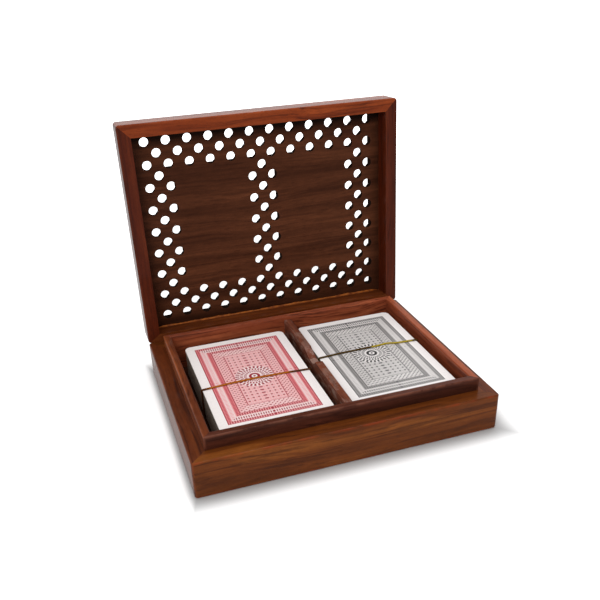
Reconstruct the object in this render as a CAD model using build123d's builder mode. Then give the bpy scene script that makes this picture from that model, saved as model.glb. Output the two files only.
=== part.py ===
"""Hinged wooden card box for two decks, built as a joiner builds it.

A low mitred base carries a thinner lining that stands above its rim, so that the lid fits over the
lining.  A divider makes two compartments, and each holds a deck of cards bound by an elastic band.
The lid is a mitred frame round a pierced panel.  It turns on two brass hinges let into the back and
is drawn here standing open, where the bevelled back edges of lid and base meet and stop it.

Millimetres.  X runs to the right, Y to the back, Z up.  The origin is the centre of the underside.
"""

from build123d import *
from math import cos, floor, radians, tan
import os

os.makedirs("parts", exist_ok=True)

# ---- Cards --------------------------------------------------------------------------------------
card_width = 58.0
card_length = 88.0
card_corner = 3.2
card_thickness = 0.29
cards_in_deck = 54
cord_radius = 0.45  # the elastic band is a round cord
cord_clearance = 0.05
cord_bend_radius = 0.6
cord_groove_depth = 1.2  # how far the cord presses into the underside of the deck
red_band_y = -5.2  # from the middle of the deck
black_band_y = 5.3

# ---- Room round the decks -----------------------------------------------------------------------
left_gap = 5.9  # from the lining to the red deck
red_gap = 3.9  # from the red deck to the divider
black_gap = 1.3  # from the divider to the black deck
right_gap = 3.3  # from the black deck to the lining
front_gap = 4.7
back_gap = 6.7
black_deck_forward = 0.5  # the black deck lies this much nearer the front than the red one

# ---- Box ----------------------------------------------------------------------------------------
corner_radius = 1.8  # upright outer corners of base and lid
edge_radius = 0.7  # outer edges along the rim, foot and lid top

base_height = 20.0
base_wall = 8.0
floor_thickness = 6.5
floor_rebate = 3.0  # how far the floor lies in the walls' rebate, flush with their underside

liner_wall = 3.8
liner_proud = 7.2  # lining above the base rim
liner_edge_radius = 0.5

divider_thickness = 4.0
divider_drop = 1.9  # top of the divider below the top of the lining
divider_housing = 1.2  # how far its ends are let into the lining
notch_back = 13.5  # thumb notch in the divider's top edge, along Y
notch_front = -4.8
notch_floor_back = 7.4
notch_floor_front = -2.2
notch_depth = 2.3

# ---- Lid ----------------------------------------------------------------------------------------
lid_height = 15.6
lid_rail = 7.0  # front and sides
lid_back_rail = 4.8
lid_open_angle = 93.5  # from closed to where the bevelled back edges meet
closing_gap = 0.1  # between the two rims when the lid is shut
panel_thickness = 5.0
panel_rebate = 3.0  # how far the panel lies on the rails' ledge

lattice_step_x = 5.86  # between columns of the net on which the piercings lie
lattice_step_y = 6.22
lattice_margin_x = 7.0  # least distance from the net's last column to the rail
lattice_margin_y = 5.0
lattice_shift_y = -0.4  # middle of the piercing from the middle of the box
band_steps = 2  # the border is three rows wide, that is two steps
drill_radius = 2.55  # round holes, drilled from inside
drill_depth = 2.2
diamond_half_x = 5.0  # diamonds, cut from outside
diamond_half_y = 4.8
diamond_side = 3.0  # from the centre to the hollow of each side
diamond_flat = 2.4  # straight side of the half diamonds at a band's edge

# ---- Hinges -------------------------------------------------------------------------------------
hinge_length = 30.0
hinge_inset = 18.0  # from the box's side to the near end of a hinge
pin_radius = 0.8
pin_clearance = 0.05
knuckle_radius = 1.7
knuckle_count = 5
knuckle_gap = 0.15
knuckle_clearance = 0.25  # wood and leaf round a knuckle
leaf_width = 8.0  # from the pin centre to the leaf's edge
leaf_thickness = 0.9
leaf_side_clearance = 0.1
stop_clearance = 0.03  # between the bevels when the lid stands open

screw_shank_radius = 0.75
screw_head_radius = 1.4
screw_length = 4.0
screw_point = 1.0
screw_clearance = 0.1
screw_hole_spare = 0.3  # pilot hole past the screw's point
screw_slot_width = 0.4
screw_slot_depth = 0.3
screw_sink_angle = 82.0
screw_spacing = 11.0
screw_count = 3
screw_line = 5.2  # screws' line, from the pin centre

# ---- Derived ------------------------------------------------------------------------------------
SIDES = ("front", "back", "left", "right")

tray_width = left_gap + card_width + red_gap + divider_thickness + black_gap + card_width + right_gap
tray_depth = front_gap + card_length + back_gap
well_width = tray_width + 2 * liner_wall  # inside the base walls
well_depth = tray_depth + 2 * liner_wall
box_width = well_width + 2 * base_wall  # outside, along X
box_depth = well_depth + 2 * base_wall  # outside, along Y
liner_top = base_height + liner_proud
floor_width = well_width + 2 * floor_rebate
floor_depth = well_depth + 2 * floor_rebate

lid_bottom = base_height + closing_gap
lid_top = lid_bottom + lid_height
panel_bottom = lid_top - panel_thickness
lid_opening_width = box_width - 2 * lid_rail
lid_opening_depth = box_depth - lid_rail - lid_back_rail
lid_opening_y = (lid_rail - lid_back_rail) / 2  # its middle
panel_width = lid_opening_width + 2 * panel_rebate
panel_depth = lid_opening_depth + 2 * panel_rebate
lattice_columns = 2 * floor((lid_opening_width / 2 - lattice_margin_x) / lattice_step_x)
lattice_rows = 2 * floor((lid_opening_depth / 2 - lattice_margin_y) / lattice_step_y)
middle_column = lattice_columns // 2  # the middle band runs on both sides of this column

pin_y = box_depth / 2 - leaf_thickness / 2  # the leaves lie flush and the pin in their middle
pin_z = base_height + closing_gap / 2
hinge_axis = Axis((0, pin_y, pin_z), (1, 0, 0))
hinge_starts = {
    "left": -box_width / 2 + hinge_inset,
    "right": box_width / 2 - hinge_inset - hinge_length,
}
knuckle_length = (hinge_length - (knuckle_count - 1) * knuckle_gap) / knuckle_count
bore_radius = pin_radius + pin_clearance
swing_radius = knuckle_radius + knuckle_clearance

divider_left = -tray_width / 2 + left_gap + card_width + red_gap
divider_right = divider_left + divider_thickness
divider_x = divider_left + divider_thickness / 2
deck_height = cards_in_deck * card_thickness
deck_x = {
    "red": divider_left - red_gap - card_width / 2,
    "black": divider_right + black_gap + card_width / 2,
}
deck_middle = (front_gap - back_gap) / 2
deck_y = {"red": deck_middle, "black": deck_middle - black_deck_forward}
band_y = {"red": deck_y["red"] + red_band_y, "black": deck_y["black"] + black_band_y}


def save(part, label):
    """Names a finished piece and writes it."""
    part.label = label
    export_step(part, f"parts/{label}.step")


def swing_open(part):
    """Turns a piece of the lid from shut to its open stop."""
    return part.rotate(hinge_axis, -lid_open_angle)


def mitre_wedge(side, side_rail, front_rail, back_rail, reach=1.1):
    """Outline that holds one rail of a mitred frame as large as the box.

    Each mitre runs from an outer corner through the inner one.  Along it, 0 is the outer corner, 1
    the inner corner, and reach lies past the inner faces.
    """
    half_x = box_width / 2
    half_y = box_depth / 2

    def on_mitre(corner, share):
        toward_x, toward_y = corner
        rail = front_rail if toward_y < 0 else back_rail
        return (toward_x * (half_x - share * side_rail), toward_y * (half_y - share * rail))

    ends = {
        "front": ((-1, -1), (1, -1)),
        "right": ((1, -1), (1, 1)),
        "back": ((1, 1), (-1, 1)),
        "left": ((-1, 1), (-1, -1)),
    }
    first, second = ends[side]
    outside = 1 - reach
    return [
        on_mitre(first, outside),
        on_mitre(second, outside),
        on_mitre(second, reach),
        on_mitre(first, reach),
    ]


def stop_bevel(upward):
    """Wood taken off the back edge of the lid, upward 1, or the base, upward -1, for the stop."""
    slope = tan(radians(lid_open_angle / 2))
    past = corner_radius
    start_y = pin_y - stop_clearance
    with BuildPart() as bevel:
        with BuildSketch(Plane.YZ.offset(-box_width / 2)):
            Polygon(
                (start_y, pin_z),
                (start_y + past, pin_z),
                (start_y + past, pin_z + upward * past * slope),
                align=None,
            )
        extrude(amount=box_width)
    return bevel.part


def screw_places(start):
    """X of each screw of the hinge that begins at start."""
    first = start + hinge_length / 2 - (screw_count - 1) * screw_spacing / 2
    return [first + i * screw_spacing for i in range(screw_count)]


def knuckle_starts(start, first):
    """X where each of a leaf's own knuckles begins: first is 0 for the base and 1 for the lid."""
    step = knuckle_length + knuckle_gap
    return [start + i * step for i in range(first, knuckle_count, 2)]


def hinge_pocket(start, upward):
    """Wood taken out for one leaf: its mortise, room for the knuckles and the screw holes."""
    with BuildPart() as pocket:
        with BuildSketch(Plane.XZ.offset(-box_depth / 2)):
            with Locations((start + hinge_length / 2, pin_z + upward * leaf_width / 2)):
                Rectangle(hinge_length + 2 * leaf_side_clearance, leaf_width + 2 * leaf_side_clearance)
        extrude(amount=leaf_thickness)
        with BuildSketch(Plane.YZ.offset(start - leaf_side_clearance)):
            with Locations((pin_y, pin_z)):
                Circle(swing_radius)
        extrude(amount=hinge_length + 2 * leaf_side_clearance)
        with BuildSketch(Plane.XZ.offset(-box_depth / 2)):
            with Locations(*[(x, pin_z + upward * screw_line) for x in screw_places(start)]):
                Circle(screw_shank_radius + screw_clearance)
        extrude(amount=screw_length + screw_hole_spare)
    return pocket.part


# ---- Base ---------------------------------------------------------------------------------------
with BuildPart() as base_frame:
    with BuildSketch():
        RectangleRounded(box_width, box_depth, corner_radius)
    extrude(amount=base_height)
    fillet(faces().sort_by(Axis.Z)[-1].outer_wire().edges(), edge_radius)
    fillet(faces().sort_by(Axis.Z)[0].outer_wire().edges(), edge_radius)
    with BuildSketch():
        Rectangle(well_width, well_depth)
    extrude(amount=base_height, mode=Mode.SUBTRACT)
    with BuildSketch():
        Rectangle(floor_width, floor_depth)
    extrude(amount=floor_thickness, mode=Mode.SUBTRACT)
    add(stop_bevel(-1), mode=Mode.SUBTRACT)
    for start in hinge_starts.values():
        add(hinge_pocket(start, -1), mode=Mode.SUBTRACT)

for side in SIDES:
    with BuildPart() as wall:
        with BuildSketch():
            Polygon(*mitre_wedge(side, base_wall, base_wall, base_wall), align=None)
        extrude(amount=base_height)
        add(base_frame.part, mode=Mode.INTERSECT)
    save(wall.part, f"base_{side}_wall")

with BuildPart() as base_floor:
    with BuildSketch():
        Rectangle(floor_width, floor_depth)
    extrude(amount=floor_thickness)
save(base_floor.part, "base_floor")

# ---- Lining and divider -------------------------------------------------------------------------
with BuildPart() as lining:
    with BuildSketch(Plane.XY.offset(floor_thickness)):
        Rectangle(well_width, well_depth)
        Rectangle(tray_width, tray_depth, mode=Mode.SUBTRACT)
    extrude(amount=liner_top - floor_thickness)
    fillet(faces().sort_by(Axis.Z)[-1].edges(), liner_edge_radius)
    with BuildSketch(Plane.XY.offset(floor_thickness)):
        with Locations((divider_x, 0)):
            Rectangle(divider_thickness, tray_depth + 2 * divider_housing)
    extrude(amount=liner_top - divider_drop - floor_thickness, mode=Mode.SUBTRACT)

lining_reach = 1.1 * (base_wall + liner_wall) / base_wall
for side in SIDES:
    with BuildPart() as liner:
        with BuildSketch(Plane.XY.offset(floor_thickness)):
            Polygon(*mitre_wedge(side, base_wall, base_wall, base_wall, lining_reach), align=None)
        extrude(amount=liner_top - floor_thickness)
        add(lining.part, mode=Mode.INTERSECT)
    save(liner.part, f"liner_{side}")

divider_top = liner_top - divider_drop
divider_reach = tray_depth / 2 + divider_housing
with BuildPart() as divider:
    with BuildSketch(Plane.YZ.offset(divider_left)):
        with BuildLine():
            Polyline(
                (notch_front, divider_top),
                (-divider_reach, divider_top),
                (-divider_reach, floor_thickness),
                (divider_reach, floor_thickness),
                (divider_reach, divider_top),
                (notch_back, divider_top),
            )
            Spline(
                (notch_back, divider_top),
                (notch_floor_back, divider_top - notch_depth),
                (notch_floor_front, divider_top - notch_depth),
                (notch_front, divider_top),
            )
        make_face()
    extrude(amount=divider_thickness)
save(divider.part, "divider")

# ---- Lid frame ----------------------------------------------------------------------------------
with BuildPart() as lid_frame:
    with BuildSketch(Plane.XY.offset(lid_bottom)):
        RectangleRounded(box_width, box_depth, corner_radius)
    extrude(amount=lid_height)
    fillet(faces().sort_by(Axis.Z)[-1].outer_wire().edges(), edge_radius)
    fillet(faces().sort_by(Axis.Z)[0].outer_wire().edges(), edge_radius)
    with BuildSketch(Plane.XY.offset(lid_bottom)):
        with Locations((0, lid_opening_y)):
            Rectangle(lid_opening_width, lid_opening_depth)
    extrude(amount=lid_height, mode=Mode.SUBTRACT)
    with BuildSketch(Plane.XY.offset(panel_bottom)):
        with Locations((0, lid_opening_y)):
            Rectangle(panel_width, panel_depth)
    extrude(amount=panel_thickness, mode=Mode.SUBTRACT)
    add(stop_bevel(1), mode=Mode.SUBTRACT)
    for start in hinge_starts.values():
        add(hinge_pocket(start, 1), mode=Mode.SUBTRACT)

for side in SIDES:
    with BuildPart() as rail:
        with BuildSketch(Plane.XY.offset(lid_bottom)):
            Polygon(*mitre_wedge(side, lid_rail, lid_rail, lid_back_rail), align=None)
        extrude(amount=lid_height)
        add(lid_frame.part, mode=Mode.INTERSECT)
    save(swing_open(rail.part), f"lid_{side}_rail")


# ---- Lid panel ----------------------------------------------------------------------------------
def in_band(column, row):
    """True where the border or the middle band has a piercing: every second crossing of the net."""
    at_border = (
        column <= band_steps
        or column >= lattice_columns - band_steps
        or row <= band_steps
        or row >= lattice_rows - band_steps
    )
    in_middle = abs(column - middle_column) <= band_steps / 2
    return (column + row) % 2 == 0 and (at_border or in_middle)


def flat_sides(column, row):
    """Which sides of a diamond are cut straight because they lie on the edge of their band."""
    last_column = lattice_columns
    last_row = lattice_rows
    within = band_steps <= column <= last_column - band_steps
    between = band_steps < row < last_row - band_steps
    lefts = (0, middle_column - 1, last_column - band_steps)
    rights = (band_steps, middle_column + 1, last_column)
    flats = {
        "left": column == 0 or (between and column in lefts),
        "right": column == last_column or (between and column in rights),
        "front": row == 0 or (row == last_row - band_steps and within),
        "back": row == last_row or (row == band_steps and within),
    }
    return tuple(name for name, flat in flats.items() if flat)


def diamond(flats):
    """A diamond with hollow sides about its own centre, cut straight on the sides named."""
    hollow = diamond_side * cos(radians(45))
    reach_left = diamond_flat if "left" in flats else diamond_half_x
    reach_right = diamond_flat if "right" in flats else diamond_half_x
    reach_front = diamond_flat if "front" in flats else diamond_half_y
    reach_back = diamond_flat if "back" in flats else diamond_half_y
    with BuildSketch(mode=Mode.PRIVATE) as outline:
        with BuildLine():
            ThreePointArc((diamond_half_x, 0), (hollow, hollow), (0, diamond_half_y))
            ThreePointArc((0, diamond_half_y), (-hollow, hollow), (-diamond_half_x, 0))
            ThreePointArc((-diamond_half_x, 0), (-hollow, -hollow), (0, -diamond_half_y))
            ThreePointArc((0, -diamond_half_y), (hollow, -hollow), (diamond_half_x, 0))
        make_face()
        with Locations(((reach_right - reach_left) / 2, (reach_back - reach_front) / 2)):
            Rectangle(reach_left + reach_right, reach_front + reach_back, mode=Mode.INTERSECT)
    return outline.sketch


def lattice_place(column, row):
    """Centre of one crossing of the net."""
    return (
        (column - lattice_columns / 2) * lattice_step_x,
        (row - lattice_rows / 2) * lattice_step_y + lattice_shift_y,
    )


places_by_shape = {}
for column in range(lattice_columns + 1):
    for row in range(lattice_rows + 1):
        if in_band(column, row):
            places = places_by_shape.setdefault(flat_sides(column, row), [])
            places.append(lattice_place(column, row))
piercings = [place for places in places_by_shape.values() for place in places]

with BuildPart() as lid_panel:
    with BuildSketch(Plane.XY.offset(panel_bottom)):
        with Locations((0, lid_opening_y)):
            Rectangle(panel_width, panel_depth)
        with Locations(*piercings):
            Circle(drill_radius, mode=Mode.SUBTRACT)
    extrude(amount=drill_depth)
    with BuildSketch(Plane.XY.offset(panel_bottom + drill_depth)):
        with Locations((0, lid_opening_y)):
            Rectangle(panel_width, panel_depth)
        for flats, places in places_by_shape.items():
            with Locations(*places):
                add(diamond(flats), mode=Mode.SUBTRACT)
    extrude(amount=panel_thickness - drill_depth)
save(swing_open(lid_panel.part), "lid_panel")


# ---- Hinges -------------------------------------------------------------------------------------
def screw_seats(start, upward):
    """Where the screws of one leaf sit, flush with the back and pointing into the wood."""
    height = pin_z + upward * screw_line
    return [Location((x, box_depth / 2, height), (-90, 0, 0)) for x in screw_places(start)]


def hinge_leaf(start, upward):
    """One leaf with its own knuckles: upward is 1 for the lid's leaf and -1 for the base's."""
    first = 1 if upward > 0 else 0
    with BuildPart() as leaf:
        with BuildSketch(Plane.YZ.offset(start)):
            with Locations((pin_y, pin_z + upward * (leaf_width + swing_radius) / 2)):
                Rectangle(leaf_thickness, leaf_width - swing_radius)
        extrude(amount=hinge_length)
        for knuckle_x in knuckle_starts(start, first):
            with BuildSketch(Plane.YZ.offset(knuckle_x)):
                with Locations((pin_y, pin_z)):
                    Circle(knuckle_radius)
                with Locations((pin_y, pin_z + upward * swing_radius / 2)):
                    Rectangle(leaf_thickness, swing_radius)
            extrude(amount=knuckle_length)
        with BuildSketch(Plane.YZ.offset(start)):
            with Locations((pin_y, pin_z)):
                Circle(bore_radius)
        extrude(amount=hinge_length, mode=Mode.SUBTRACT)
        with Locations(*screw_seats(start, upward)):
            CounterSinkHole(
                screw_shank_radius + screw_clearance,
                screw_head_radius + screw_clearance,
                depth=leaf_thickness,
                counter_sink_angle=screw_sink_angle,
            )
    return leaf.part


def hinge_screws(start, upward):
    """The countersunk wood screws of one leaf, as separate solids."""
    head_depth = (screw_head_radius - screw_shank_radius) / tan(radians(screw_sink_angle / 2))
    with BuildPart() as screw:
        with BuildSketch(Plane.XZ):
            with BuildLine():
                Polyline(
                    (0, 0),
                    (screw_head_radius, 0),
                    (screw_shank_radius, -head_depth),
                    (screw_shank_radius, -(screw_length - screw_point)),
                    (0, -screw_length),
                    close=True,
                )
            make_face()
        revolve(axis=Axis.Z)
        with BuildSketch():
            Rectangle(2 * screw_head_radius, screw_slot_width)
        extrude(amount=-screw_slot_depth, mode=Mode.SUBTRACT)
    return Compound(children=[screw.part.moved(seat) for seat in screw_seats(start, upward)])


for name, start in hinge_starts.items():
    save(hinge_leaf(start, -1), f"{name}_hinge_base_leaf")
    save(swing_open(hinge_leaf(start, 1)), f"{name}_hinge_lid_leaf")
    save(hinge_screws(start, -1), f"{name}_hinge_base_screws")
    save(swing_open(hinge_screws(start, 1)), f"{name}_hinge_lid_screws")
    with BuildPart() as pin:
        with BuildSketch(Plane.YZ.offset(start)):
            with Locations((pin_y, pin_z)):
                Circle(pin_radius)
        extrude(amount=hinge_length)
    save(pin.part, f"{name}_hinge_pin")

# ---- Decks and their bands ----------------------------------------------------------------------
groove_width = 2 * (cord_radius + cord_clearance)
cord_offset = cord_radius + cord_clearance  # cord's centre line from the cards

for colour in ("red", "black"):
    centre_x = deck_x[colour]
    top_card_bottom = floor_thickness + deck_height - card_thickness

    with BuildPart() as deck:
        with BuildSketch(Plane.XY.offset(floor_thickness)):
            with Locations((centre_x, deck_y[colour])):
                RectangleRounded(card_width, card_length, card_corner)
        extrude(amount=deck_height - card_thickness)
        with BuildSketch(Plane.XY.offset(floor_thickness)):
            with Locations((centre_x, band_y[colour])):
                Rectangle(card_width, groove_width)
        extrude(amount=cord_groove_depth, mode=Mode.SUBTRACT)
    save(deck.part, f"{colour}_deck")

    with BuildPart() as top_card:
        with BuildSketch(Plane.XY.offset(top_card_bottom)):
            with Locations((centre_x, deck_y[colour])):
                RectangleRounded(card_width, card_length, card_corner)
        extrude(amount=card_thickness)
    save(top_card.part, f"{colour}_top_card")

    run_bottom = floor_thickness + cord_offset
    run_top = floor_thickness + deck_height + cord_offset
    with BuildSketch(Plane.XZ.offset(-band_y[colour])) as loop:
        with Locations((centre_x, (run_bottom + run_top) / 2)):
            RectangleRounded(card_width + 2 * cord_offset, run_top - run_bottom, cord_bend_radius)
    with BuildPart() as band:
        with BuildSketch(Plane.YZ.offset(centre_x)):
            with Locations((band_y[colour], run_top)):
                Circle(cord_radius)
        sweep(path=loop.sketch.face().outer_wire())
    save(band.part, f"{colour}_band")
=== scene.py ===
"""A lacquered rosewood card box, its pierced lid open, with two decks of cards held by cords.

The boards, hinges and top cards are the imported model's own solids, dressed here. The cards below
the top ones, the twisted cords and the bead of lacquer in the lid are made here. Sizes are in
metres where nothing else is said. In the finishes, smooth has the noise at which an effect starts
and that at which it is full, and a factor is the effect's share.
"""

import logging
import math
from collections.abc import Iterable
from dataclasses import dataclass
from enum import Enum
from typing import Union

import bpy
import numpy as np
from mathutils import Matrix, Vector


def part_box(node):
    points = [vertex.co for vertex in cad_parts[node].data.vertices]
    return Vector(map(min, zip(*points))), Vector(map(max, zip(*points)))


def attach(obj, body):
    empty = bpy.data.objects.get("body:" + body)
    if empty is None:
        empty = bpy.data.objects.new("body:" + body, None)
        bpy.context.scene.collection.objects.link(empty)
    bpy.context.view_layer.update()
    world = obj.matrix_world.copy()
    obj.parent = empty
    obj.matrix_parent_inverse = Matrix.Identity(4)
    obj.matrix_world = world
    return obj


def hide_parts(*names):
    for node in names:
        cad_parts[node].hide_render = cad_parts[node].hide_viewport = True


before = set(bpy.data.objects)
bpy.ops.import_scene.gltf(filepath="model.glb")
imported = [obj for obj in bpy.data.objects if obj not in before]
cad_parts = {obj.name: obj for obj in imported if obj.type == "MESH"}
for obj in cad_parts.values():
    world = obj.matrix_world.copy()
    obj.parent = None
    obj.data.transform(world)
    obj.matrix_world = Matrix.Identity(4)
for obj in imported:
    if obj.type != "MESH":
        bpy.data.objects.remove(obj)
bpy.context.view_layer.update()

LOG = logging.getLogger("card_box")
MILLIMETRE = 0.001

Feed = Union["Signal", float, tuple[float, ...]]
Feeds = dict[str | int, Feed]
Stops = Iterable[tuple[float, float]]
Tone = tuple[float, float, float, float]
Triple = tuple[float, float, float]


def tone(*shown: int) -> Tone:
    """Turns a colour as a screen shows it, on the sRGB curve, into the linear one of a shader.

    Args:
        shown: Red, green and blue, 0 to 255.

    Returns:
        The linear colour with an alpha of 1.
    """
    share = np.array(shown) / 255.0
    linear = np.where(share <= 0.04045, share / 12.92, ((share + 0.055) / 1.055) ** 2.4)
    return (*map(float, linear), 1.0)


def cleared(owner: bpy.types.Material | bpy.types.World) -> bpy.types.NodeTree:
    """Gives a material or a world an empty node tree.

    Args:
        owner: The material or the world.

    Returns:
        The tree.
    """
    owner.use_nodes = True
    owner.node_tree.nodes.clear()
    return owner.node_tree


def linked(name: str, data: bpy.types.ID) -> bpy.types.Object:
    """Puts a new object into the scene.

    Args:
        name: The object's name.
        data: Its mesh, lamp or camera.

    Returns:
        The object.
    """
    piece = bpy.data.objects.new(name, data)
    bpy.context.scene.collection.objects.link(piece)
    return piece


@dataclass(frozen=True)
class Cloud:
    """Cloudy noise from 0 to 1.

    Attributes:
        stretch: Clouds to the metre along X, Y and Z.
        detail: How many finer layers lie over the clouds.
        rough: How strong the finer layers are.
    """

    stretch: Triple
    detail: float = 2.0
    rough: float = 0.5


class Signal:
    """A number, colour or vector that changes over a surface. Numbers take plain arithmetic."""

    def __init__(self, bench: "Bench", socket: bpy.types.NodeSocket) -> None:
        """Keeps an output socket and the bench that its node stands on."""
        self.bench = bench
        self.socket = socket

    def __add__(self, other: Feed) -> "Signal":
        """Returns the sum."""
        return self.bench.math("ADD", self, other)

    def __sub__(self, other: Feed) -> "Signal":
        """Returns this less the other."""
        return self.bench.math("SUBTRACT", self, other)

    def __rsub__(self, other: Feed) -> "Signal":
        """Returns the other less this."""
        return self.bench.math("SUBTRACT", other, self)

    def __mul__(self, other: Feed) -> "Signal":
        """Returns the product."""
        return self.bench.math("MULTIPLY", self, other)

    def __truediv__(self, other: Feed) -> "Signal":
        """Returns this divided by the other."""
        return self.bench.math("DIVIDE", self, other)

    def __lt__(self, other: Feed) -> "Signal":
        """Returns 1 where this is less than the other, and 0 elsewhere."""
        return self.bench.math("LESS_THAN", self, other)

    def __abs__(self) -> "Signal":
        """Returns this without its sign."""
        return self.bench.math("ABSOLUTE", self)

    def least(self, other: Feed) -> "Signal":
        """Returns the smaller of the two."""
        return self.bench.math("MINIMUM", self, other)

    def most(self, other: Feed) -> "Signal":
        """Returns the larger of the two."""
        return self.bench.math("MAXIMUM", self, other)

    def smooth(self, start: float, stop: float) -> "Signal":
        """Returns an S-shaped step from 0 at start to 1 at stop; start may be the larger."""
        feeds = {"Value": self, "From Min": start, "From Max": stop}
        return self.bench.out("MapRange", feeds, interpolation_type="SMOOTHSTEP")

    def stripe(self, pitch: float, share: float) -> "Signal":
        """Returns 1 over the first share of every pitch, and 0 over the rest."""
        return self.bench.math("FRACT", self / pitch) < share


class Bench:
    """Places nodes in one node tree and joins them."""

    def __init__(self, tree: bpy.types.NodeTree) -> None:
        """Starts on an empty tree."""
        self.tree = tree

    def join(self, socket: bpy.types.NodeSocket, feed: Feed) -> None:
        """Links an input socket to a signal, or sets the socket's value.

        Args:
            socket: The input socket.
            feed: A signal, a number or a tuple.
        """
        if isinstance(feed, Signal):
            self.tree.links.new(feed.socket, socket)
        else:
            socket.default_value = feed

    def add(self, kind: str, feeds: Feeds | None = None, **settings: object) -> bpy.types.Node:
        """Adds a node.

        Args:
            kind: The node's type without its first word, ShaderNode.
            feeds: What goes into each input, by name or number.
            settings: The node's own properties.

        Returns:
            The new node.
        """
        node = self.tree.nodes.new(f"ShaderNode{kind}")
        for name, value in settings.items():
            setattr(node, name, value)
        for key, feed in (feeds or {}).items():
            self.join(node.inputs[key], feed)
        return node

    def out(
        self, kind: str, feeds: Feeds | None = None, pick: str | int = 0, **settings: object
    ) -> Signal:
        """Adds a node as add does, and returns the one of its outputs that pick names."""
        return Signal(self, self.add(kind, feeds, **settings).outputs[pick])

    def math(self, operation: str, *values: Feed) -> Signal:
        """Returns the result of one arithmetic node."""
        return self.out("Math", dict(enumerate(values)), operation=operation)

    def blend(self, share: Feed, first: Feed, second: Feed, way: str = "MIX") -> Signal:
        """Returns a colour that goes from the first to the second as share goes from 0 to 1."""
        feeds = {0: share, 6: first, 7: second}
        return self.out("Mix", feeds, 2, data_type="RGBA", blend_type=way)

    def turned(
        self, vector: Signal, turn: Triple = (0, 0, 0), shift: Triple = (0, 0, 0)
    ) -> Signal:
        """Returns the vector turned about the origin, then shifted."""
        return self.out("Mapping", {"Vector": vector, "Rotation": turn, "Location": shift})

    def noise(self, place: Signal, cloud: Cloud) -> Signal:
        """Draws cloudy noise.

        Args:
            place: The coordinates.
            cloud: The noise.

        Returns:
            The noise at the place.
        """
        spot = self.out("Mapping", {"Vector": place, "Scale": cloud.stretch})
        feeds = {"Vector": spot, "Scale": 1.0, "Detail": cloud.detail, "Roughness": cloud.rough}
        return self.out("TexNoise", feeds)

    def parts(self, vector: Signal) -> list[Signal]:
        """Returns the three components of a vector."""
        return [Signal(self, part) for part in self.add("SeparateXYZ", {0: vector}).outputs]

    def ramp(self, value: Signal, stops: Stops, top: float, way: str = "CONSTANT") -> Signal:
        """Returns a grey that changes at given values.

        Args:
            value: The value that is looked up.
            stops: Pairs of a value and the grey there, from the lowest value up.
            top: The highest value.
            way: CONSTANT to jump from grey to grey, LINEAR to slide.

        Returns:
            The grey.
        """
        stops = list(stops)
        bottom = stops[0][0]
        node = self.add("ValToRGB", {"Fac": (value - bottom) / (top - bottom)})
        band = node.color_ramp
        band.interpolation = way
        for index, (spot, grey) in enumerate(stops):
            place = (spot - bottom) / (top - bottom)
            stop = band.elements[index] if index < 2 else band.elements.new(place)
            stop.position = place
            stop.color = (grey, grey, grey, 1.0)
        return Signal(self, node.outputs["Color"])

    def group(self, tree: bpy.types.NodeTree, feeds: Feeds) -> dict[str, Signal]:
        """Places a node group, feeds its named inputs and returns its named outputs."""
        node = self.add("Group", feeds, node_tree=tree)
        return {socket.name: Signal(self, socket) for socket in node.outputs}


class MaterialBench(Bench):
    """The bench of one material, with Object coordinates as the spot on the piece."""

    def __init__(self, name: str) -> None:
        """Opens the material.

        Args:
            name: Its name.
        """
        self.material = bpy.data.materials.new(name)
        super().__init__(cleared(self.material))
        self.spot = self.out("TexCoord", pick="Object")

    def close(
        self, looks: Feeds, height: Signal, strength: float, depth: float
    ) -> bpy.types.Material:
        """Ends the material with a Principled shader and a relief in its normal.

        Args:
            looks: What goes into the shader's inputs, by name.
            height: The relief's height, about 0 to 1.
            strength: How much of the relief shows.
            depth: The relief's depth in metres.

        Returns:
            The material.
        """
        relief = self.out("Bump", {"Height": height, "Strength": strength, "Distance": depth})
        shader = self.out("BsdfPrincipled", {**looks, "Normal": relief})
        self.add("OutputMaterial", {"Surface": shader})
        return self.material


class SocketKind(Enum):
    """What a group's socket carries."""

    VALUE = "NodeSocketFloat"
    COLOUR = "NodeSocketColor"
    VECTOR = "NodeSocketVector"


class GroupMaker:
    """Base for the shader node groups: opens the tree and its named sockets."""

    name: str = ""
    takes: dict[str, SocketKind] = {}
    gives: dict[str, SocketKind] = {}

    def __init__(self) -> None:
        """Opens the tree, its inputs and its outputs, and draws what is between."""
        self.tree = bpy.data.node_groups.new(self.name, "ShaderNodeTree")
        for way, labels in (("INPUT", self.takes), ("OUTPUT", self.gives)):
            for label, kind in labels.items():
                self.tree.interface.new_socket(name=label, in_out=way, socket_type=kind.value)
        self.bench = Bench(self.tree)
        entry = self.tree.nodes.new("NodeGroupInput")
        self.given = {label: Signal(self.bench, entry.outputs[label]) for label in self.takes}
        self.results = self.tree.nodes.new("NodeGroupOutput").inputs
        self.draw()

    def draw(self) -> None:
        """Fills the group."""
        raise NotImplementedError

    def give(self, label: str, signal: Signal) -> None:
        """Sends a signal out of the group."""
        self.bench.join(self.results[label], signal)


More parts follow.
